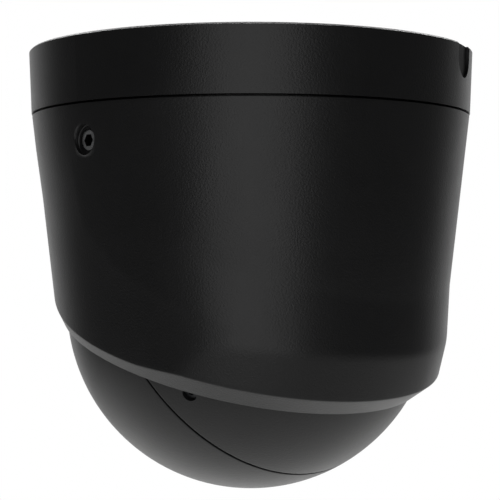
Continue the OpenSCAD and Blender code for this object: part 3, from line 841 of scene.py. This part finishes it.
# Rows run down the outside, round the lip, up the bore and inner wall and over the tongue.
def makeShroud(s):
    a = math.radians(s["lockTurn"]) + np.arange(s["columns"]) * 2 * math.pi / s["columns"]
    side = lambda z: wheel(shroudRadius(s, z, a), z, a)
    inner = lambda z: wheel(shroudSide(s, z, a) - s["wall"], z, a)
    flat = np.zeros_like(a)
    half, step, gaps = s["block"], s["rowStep"], s["rowGaps"]
    edgeZ = lipEdge(s, a)
    rows, wear = [], []

    def add(points, edge=0.0):
        rows.append(np.asarray(points).reshape(-1, len(a), 3))
        wear.append(np.broadcast_to(edge, (len(rows[-1]),)))

    rim = wheel(s["topR"] + flat, flat - s["top"], a)
    rimIn = wheel(s["topR"] - s["edgeCut"] + flat, flat - s["top"], a)
    bend = np.sin(np.linspace(0, math.pi, 5))
    add(curve3(rimIn, rim, side(flat - s["top"] - s["edgeCut"]), 4), bend)
    blockTop = s["lockDrop"] - half * step
    add([side(flat - z) for z in np.linspace(s["top"] + gaps[0], blockTop - gaps[1], 2)])
    firstOut = sum(len(r) for r in rows)
    add([side(flat - blockTop - k * step) for k in range(2 * half + 1)])
    steady = s["steady"]
    down = blockTop + 2 * half * step
    add([side(flat - z) for z in np.linspace(down + gaps[2], steady, 10)])
    part = np.linspace(0, 1, s["sideRows"])[1:-1]
    lastZ = edgeZ + s["edgeRound"]
    add([side(-steady + (lastZ + steady) * p) for p in part])
    corner = side(edgeZ)
    turn = tiltedPlace(s, corner)[2]
    landR = s["lipR"] + s["lipLand"]
    land = fromTilted(s, flat + s["lipDrop"], landR, turn)
    drop = land - corner
    long = np.linalg.norm(drop, axis=-1, keepdims=True)
    cut = np.minimum(s["edgeRound"], 0.4 * long)
    chamfer = lambda p: corner + drop * p
    bend = np.sin(np.linspace(0, math.pi, 6))
    add(curve3(side(lastZ), corner, corner + drop / long * cut, 5), bend)
    startPart, endPart = cut / long, 1 - np.minimum(0.2, 0.2 * long) / long
    add([chamfer(startPart + (endPart - startPart) * p) for p in np.linspace(0, 1, 6)[1:]])
    mouth = fromTilted(s, flat + s["lipDrop"], s["lipR"], turn)
    add([land, (land + mouth) / 2, mouth], 0.5)
    bore = np.linspace(s["lipDrop"], s["seatEnd"], 7)[1:]
    add([fromTilted(s, flat + h, math.sqrt(s["ballR"] ** 2 - h * h), turn) for h in bore])
    for h in (s["seatEnd"], s["seatTop"]):
        seat = fromTilted(s, flat + h, s["seatR"], turn)
        around = np.arctan2(seat[:, 1], seat[:, 0])
        reach = np.minimum(np.hypot(seat[:, 0], seat[:, 1]),
                           shroudSide(s, seat[:, 2], around) - s["wall"])
        add(wheel(reach, seat[:, 2], around))
    meet = inner(seatEdge(s, a))
    add(meet)
    wallFoot = inner(flat - down - 1.0)
    add([meet + (wallFoot - meet) * p for p in np.linspace(0, 1, 10)[1:]])
    firstIn = sum(len(r) for r in rows)
    add([inner(flat - down + k * step) for k in range(2 * half + 1)])
    ring = [
        (shroudSide(s, -s["tongueFoot"], 0.0) - s["wall"], s["tongueFoot"]),
        (s["tongueIn"], s["tongueFoot"]), (s["tongueIn"], s["tongueTop"] + 0.2),
        (s["tongueIn"] + 0.2, s["tongueTop"]), (s["tongueR"] - 0.2, s["tongueTop"]),
        (s["tongueR"], s["tongueTop"] + 0.2), (s["tongueR"], s["grooveTop"]),
        (s["grooveR"], s["grooveTop"]), (s["grooveR"], s["grooveEnd"]),
        (s["tongueR"], s["grooveEnd"]), (s["tongueR"], s["top"]),
    ]
    add([wheel(r + flat, flat - z, a) for r, z in ring])
    points, wear = np.concatenate(rows), np.concatenate(wear)
    keep = np.ones(points.shape[:2], bool)
    across = np.arange(-half, half) % s["columns"]
    for first in (firstOut, firstIn):
        keep[first:first + 2 * half, across] = False
    skin = newSkin()
    ids = addGrid(skin, points, wear[:, None], closeRows=True, keep=keep)
    outer = blockLoop(ids, firstOut, firstOut + 2 * half, -half, half)
    innerIds = ids[firstIn:firstIn + 2 * half + 1][::-1]
    inside = blockLoop(innerIds, 0, 2 * half, -half, half)
    flatPoints = points.reshape(-1, 3)
    turn = math.radians(s["lockTurn"])
    axis = np.array([math.cos(turn), math.sin(turn), 0.0])
    sideHere = float(shroudRadius(s, np.array(-s["lockDrop"]), np.array(turn)))
    centre = axis * sideHere - (0, 0, s["lockDrop"])

    def onSide(p):
        around = np.arctan2(p[:, 1], p[:, 0])
        return wheel(shroudRadius(s, p[:, 2], around), p[:, 2], around)

    wallIn = float(shroudSide(s, -s["lockDrop"], turn)) - s["wall"]
    stations = [
        (s["pocketR"] + 0.06, centre @ axis - 0.2), (s["pocketR"], centre @ axis - 0.45),
        (s["pocketR"], s["lockFace"] + 0.15), (s["pocketR"] - 0.15, s["lockFace"]),
        (s["screwR"], s["lockFace"]), (s["screwR"], s["insertOut"]),
        (s["insertR"], s["insertOut"]), (s["insertR"], s["lugIn"]),
        (s["lugR"] - 0.3, s["lugIn"]), (s["lugR"], s["lugIn"] + 0.3), (s["lugR"], wallIn - 0.2),
    ]
    last = addPit(skin, outer, flatPoints[outer], centre, axis, s["pocketR"] + 0.3,
                  stations, onSide)[0]
    addBand(skin, last, inside)
    makePiece("shroudSkin", skin, "shroud", "black_coat", "shroud", turn=s["turn"])


makeShroud(shroudSet)

# The eyeball's two shells, turned about the lens axis, with pits for screws and microphone
ballSet = {
    "radius": 45.7, "inside": 43.35, "columns": 360,
    "parting": (0.85, 1.35), "edgeCut": 0.22,
    "rimR": 23.0, "recessR": 21.55, "ledge": 36.7, "ledgeTop": 34.9, "ledgeIn": 19.6,
    "ledgeOut": 24.6, "glandR": 4.0, "bossR": 8.0, "bossZ": 40.3,
    "sleeveFoot": -2.5, "lap": 0.35,
    "sleeve": (((38.6, -2.5), 0), ((38.6, 4), 0), ((33.5, 4), 0), ((33.5, 6), 0), ((38.6, 6), 0),
               ((38.6, 12.5), 0.3), ((41, 12.5), 0.3)),
    "screwTurns": (34.7, 154.7, 274.7), "screwUp": 8.1, "screwHole": 1.6, "screwFloor": 43.28,
    "screwPast": 44.2, "screwBlock": 3,
    "micTurn": 90.0, "micTilt": 45.0, "micHole": 0.6, "micFloor": 43.15,
    "micPast": 32, "micBlock": 2, "micStep": 0.7,
}


# Points of a circle in (radius, height), at angles from the parting plane in degrees.
def arc(radius, angles):
    a = np.radians(angles)
    return np.stack([radius * np.cos(a), radius * np.sin(a)], axis=-1)


def onBall(radius):
    return lambda p: p * radius / np.linalg.norm(p, axis=-1, keepdims=True)


# Joins plain points and rounded corners: each entry is (points, cuts) of the closed path.
def profileRows(pieces):
    parts = [np.asarray(p, float).reshape(-1, 2) for p, cut in pieces]
    cuts = [np.full(len(part), cut) for part, (p, cut) in zip(parts, pieces)]
    return roundPath(np.concatenate(parts), np.concatenate(cuts))


# The profile's row nearest a height, among those farther out than a limit
def rowAt(path, height, past):
    return int(np.argmin(np.abs(path[:, 1] - height) + 100 * (path[:, 0] < past)))


# Turns a profile and cuts its pits, each (column, centre, axis, mouth, circles down to its floor)
def makeShell(name, node, profile, turns, row, half, pits, r):
    path, soft = profile
    points = spin(path, turns)
    keep = np.ones(points.shape[:2], bool)
    for pit in pits:
        keep[row - half:row + half, np.arange(pit[0] - half, pit[0] + half) % len(turns)] = False
    skin = newSkin()
    ids = addGrid(skin, points, soft[:, None], closeRows=True, keep=keep)
    for column, centre, axis, mouth, stations in pits:
        loop = blockLoop(ids, row - half, row + half, column - half, column + half)
        last, foot, axis = addPit(skin, loop, points.reshape(-1, 3)[loop], centre, axis, mouth,
                                  stations, onBall(r))
        addPole(skin, last, foot + axis * stations[-1][1])
    makePiece(name, skin, "eyeball", "black_coat", node, **ballFrame)


# Outer sphere from the parting line to the gland's bore, and the inner sphere back.
def makeRearShell(s):
    r, cut = s["radius"], s["edgeCut"]
    z0 = s["parting"][1]
    mid = math.degrees(math.asin(s["screwUp"] / r))
    first, last = math.degrees(math.asin(z0 / r)), math.degrees(math.acos(s["glandR"] / r))
    outer = mid + np.arange(-8, 90)
    outer = outer[(outer > first + 0.5) & (outer < last - 0.4)]
    innerEnd = math.degrees(math.acos(s["bossR"] / s["inside"]))
    inner = np.linspace(innerEnd, math.degrees(math.asin(z0 / s["inside"])), 40)
    profile = profileRows([
        (arc(r, [first]), cut), (arc(r, outer), 0), (arc(r, [last]), cut),
        ([s["glandR"], s["bossZ"]], 0), ([s["bossR"], s["bossZ"]], 0),
        (arc(s["inside"], inner), 0),
    ])
    turns = np.radians(s["screwTurns"][0] + np.arange(s["columns"]))
    reach = math.sqrt(r * r - s["screwUp"] ** 2)
    stations = [(s["screwHole"] + 0.02, reach - 0.2), (s["screwHole"], s["screwFloor"])]
    pits = []
    for turn in s["screwTurns"]:
        column = int(round(turn - s["screwTurns"][0]))
        axis = np.array([math.cos(turns[column]), math.sin(turns[column]), 0.0])
        centre = axis * reach + (0, 0, s["screwUp"])
        pits.append((column, centre, axis, s["screwHole"] + 0.15, stations))
    row = rowAt(profile[0], s["screwUp"], s["screwPast"])
    makeShell("eyeballRear", "rear_shell", profile, turns, row, s["screwBlock"], pits, r)


# Outer sphere from the parting line to the window's rim, the recess and ledge, then inside.
def makeFrontShell(s):
    r, cut = s["radius"], s["edgeCut"]
    z0 = s["parting"][0]
    face = math.sqrt(r * r - s["rimR"] ** 2)
    rim = -math.degrees(math.acos(s["rimR"] / r))
    top = math.degrees(math.asin(z0 / r))
    outer = -s["micTilt"] + s["micStep"] * np.arange(-22, 68)
    outer = outer[(outer > rim + 0.45) & (outer < top - 0.5)][::-1]
    innerTop = math.degrees(math.asin(s["sleeveFoot"] / s["inside"]))
    innerEnd = -math.degrees(math.acos(s["ledgeOut"] / s["inside"]))
    inner = np.linspace(innerEnd, innerTop, 40)
    profile = profileRows([
        (arc(r, [top]), cut), (arc(r, outer), 0), (arc(r, [rim]), 0.5),
        ([s["recessR"], -face], 0.25), ([s["recessR"], -s["ledge"]], 0),
        ([s["ledgeIn"], -s["ledge"]], 0.15), ([s["ledgeIn"], -s["ledgeTop"]], 0),
        ([s["ledgeOut"], -s["ledgeTop"]], 0), (arc(s["inside"], inner), 0),
        *s["sleeve"], ([41, s["lap"]], 0), ([s["inside"], s["lap"]], 0), ([s["inside"], z0], 0),
    ])
    tilt = math.radians(s["micTilt"])
    row = rowAt(profile[0], -r * math.sin(tilt), s["micPast"])
    axis = np.array([0.0, math.cos(tilt), -math.sin(tilt)])
    stations = [(s["micHole"], r - 0.2), (s["micHole"], s["micFloor"])]
    pits = [(int(s["micTurn"]), axis * r, axis, s["micHole"] + 0.1, stations)]
    turns = np.radians(np.arange(s["columns"]))
    makeShell("eyeballFront", "front_shell", profile, turns, row, s["micBlock"], pits, r)


makeRearShell(ballSet)
makeFrontShell(ballSet)

# The lock screw: cone point, plain shank and a hex socket in a chamfered face
lockSet = {
    "turn": 1.2, "drop": 24.0, "tip": 44.75, "tipR": 0.9, "coneEnd": 46.3, "radius": 2.45,
    "face": 52.0, "chamfer": 0.35, "keyAcross": 2.5, "keyDepth": 2.2, "mouth": 0.22,
}


# Circles along the shank, then a hexagon of radius h / cos(a mod 60 - 30) down the socket.
def makeLockScrew(s):
    turns = np.radians(np.arange(0, 360, 5.0))
    flatR = s["keyAcross"] / 2
    hexR = flatR / np.cos((turns % math.radians(60)) - math.radians(30))
    r, c, face = s["radius"], s["chamfer"], s["face"]
    rows = [
        (s["tipR"], s["tip"]), (r, s["coneEnd"]), (r, face - c),
        (r - 0.4 * c, face - 0.15 * c), (r - c, face),
        (hexR + s["mouth"], face), (hexR + 0.3 * s["mouth"], face - 0.25 * s["mouth"]),
        (hexR, face - s["mouth"]), (hexR, face - s["keyDepth"]),
    ]
    points = np.stack([np.stack([h + 0 * turns, rad * np.cos(turns), rad * np.sin(turns)], -1)
                       for rad, h in rows])
    wear = np.array([0, 0, 0.4, 1, 1, 1, 0.3, 0, 0])[:, None]
    skin = newSkin()
    ids = addGrid(skin, points, wear)
    addPole(skin, ids[0], (s["tip"], 0, 0))
    addPole(skin, ids[-1], (face - s["keyDepth"] - 0.4, 0, 0))
    skin["points"] = [part - (0, 0, s["drop"]) for part in skin["points"]]
    makePiece("lockScrewSkin", skin, "lock_screw", "screw_steel", "lock_screw",
              turn=s["turn"], sharp=28.0)


makeLockScrew(lockSet)

# Front pane with a small chamfer, the coated front lens, and the lamps in their cups
frontSet = {
    "paneR": 21.4, "paneFace": -39.35, "paneBack": -37.3, "paneCut": 0.22,
    "lensR": 5.5, "lensCut": 0.1, "lensBack": -31.5, "lensSeat": -34.4, "domeR": 4.7,
    "domeBall": 8.0, "domeCentre": -28.0,
    "lampCircle": 14.6, "lampCount": 6, "lampFoot": -32.7, "lampShelf": -33.6, "lampHalf": 1.7,
    "lampDome": 1.55, "cupMouth": 2.85, "cupThroat": 2.05, "cupFace": -36.55, "cupFoot": -35.3,
    "cupBrim": -36.22,
}


# Flat pane: circles from the middle of its back, over chamfered rims, to that of its face.
def makePane(s):
    r, f, b, c = s["paneR"], s["paneFace"], s["paneBack"], s["paneCut"]
    path = np.array([[1.5, b], [10, b], [r - c, b], [r, b - c], [r, f + c],
                     [r - 0.3 * c, f + 0.3 * c], [r - c, f], [10, f], [1.5, f]])
    wear = np.array([0, 0, 0.4, 0.4, 0.6, 1, 0.6, 0, 0])[:, None]
    skin = newSkin()
    ids = addGrid(skin, spin(path, np.radians(np.arange(0, 360, 2.5))), wear)
    addPole(skin, ids[0], (0, 0, b))
    addPole(skin, ids[-1], (0, 0, f))
    makePiece("windowPane", skin, "eyeball", "window_glass", "window", **ballFrame, sharp=25.0)


# Front element: flat back, cylindrical rim, and a cap z = c - sqrt(R^2 - r^2).
def makeLens(s):
    r, c = s["lensR"], s["lensCut"]
    reach = np.linspace(s["domeR"], 0.4, 14)
    cap = s["domeCentre"] - np.sqrt(s["domeBall"] ** 2 - reach ** 2)
    path = np.concatenate([
        [[0.4, s["lensBack"]], [r - c, s["lensBack"]], [r, s["lensBack"] - c],
         [r, s["lensSeat"] + c], [r - c, s["lensSeat"]]],
        np.stack([reach, cap], -1)])
    skin = newSkin()
    ids = addGrid(skin, spin(path, np.radians(np.arange(0, 360, 5.0))))
    addPole(skin, ids[0], (0, 0, s["lensBack"]))
    addPole(skin, ids[-1], (0, 0, s["domeCentre"] - s["domeBall"]))
    makePiece("frontLensDome", skin, "eyeball", "lens_glass", "front_lens", **ballFrame,
              sharp=30.0)


def lampPlaces(s):
    turns = np.radians(np.arange(s["lampCount"]) * 360 / s["lampCount"])
    return s["lampCircle"] * np.stack([np.cos(turns), np.sin(turns), 0 * turns], -1)


# Each lamp goes from a square foot to a round dome: |x|^n + |y|^n = r^n, n from 12 to 2.
def makeLamps(s):
    turns = np.radians(np.arange(0, 360, 10.0))
    half = s["lampHalf"]
    dome, shelf = s["lampDome"], s["lampShelf"]
    rows = [(half, s["lampFoot"], 12), (half, shelf + 0.15, 12), (half - 0.12, shelf, 10),
            (dome + 0.05, shelf, 2)]
    rise = np.radians([12, 26, 42, 58, 74])
    rows += [(dome * math.cos(b), shelf - dome * math.sin(b), 2) for b in rise]
    shape = []
    for r, z, n in rows:
        out = r / (np.abs(np.cos(turns)) ** n + np.abs(np.sin(turns)) ** n) ** (1 / n)
        shape.append(np.stack([out * np.cos(turns), out * np.sin(turns), z + 0 * turns], -1))
    skin = newSkin()
    for place in lampPlaces(s):
        ids = addGrid(skin, np.array(shape) + place)
        addPole(skin, ids[0], place + (0, 0, s["lampFoot"]))
        addPole(skin, ids[-1], place + (0, 0, shelf - dome))
    makePiece("lampDomes", skin, "eyeball", "lamp", "ir_lamps", **ballFrame, sharp=30.0)


# Rounded collars round the lamp holes: a closed profile turned about each lamp's own axis.
def makeCups(s):
    throat, mouth, face, foot = s["cupThroat"], s["cupMouth"], s["cupFace"], s["cupFoot"]
    path, soft = roundPath([[throat, foot], [throat, face + 0.2], [mouth - 0.35, face],
                            [mouth, s["cupBrim"]]], [0, 0.2, 0.2, 0], 3)
    shape = spin(path, np.radians(np.arange(0, 360, 10.0)))
    skin = newSkin()
    for place in lampPlaces(s):
        addGrid(skin, shape + place, soft[:, None], closeRows=True)
    makePiece("lampCollars", skin, "eyeball", "black_plastic", **ballFrame, sharp=35.0)


makePane(frontSet)
makeLens(frontSet)
makeLamps(frontSet)
makeCups(frontSet)
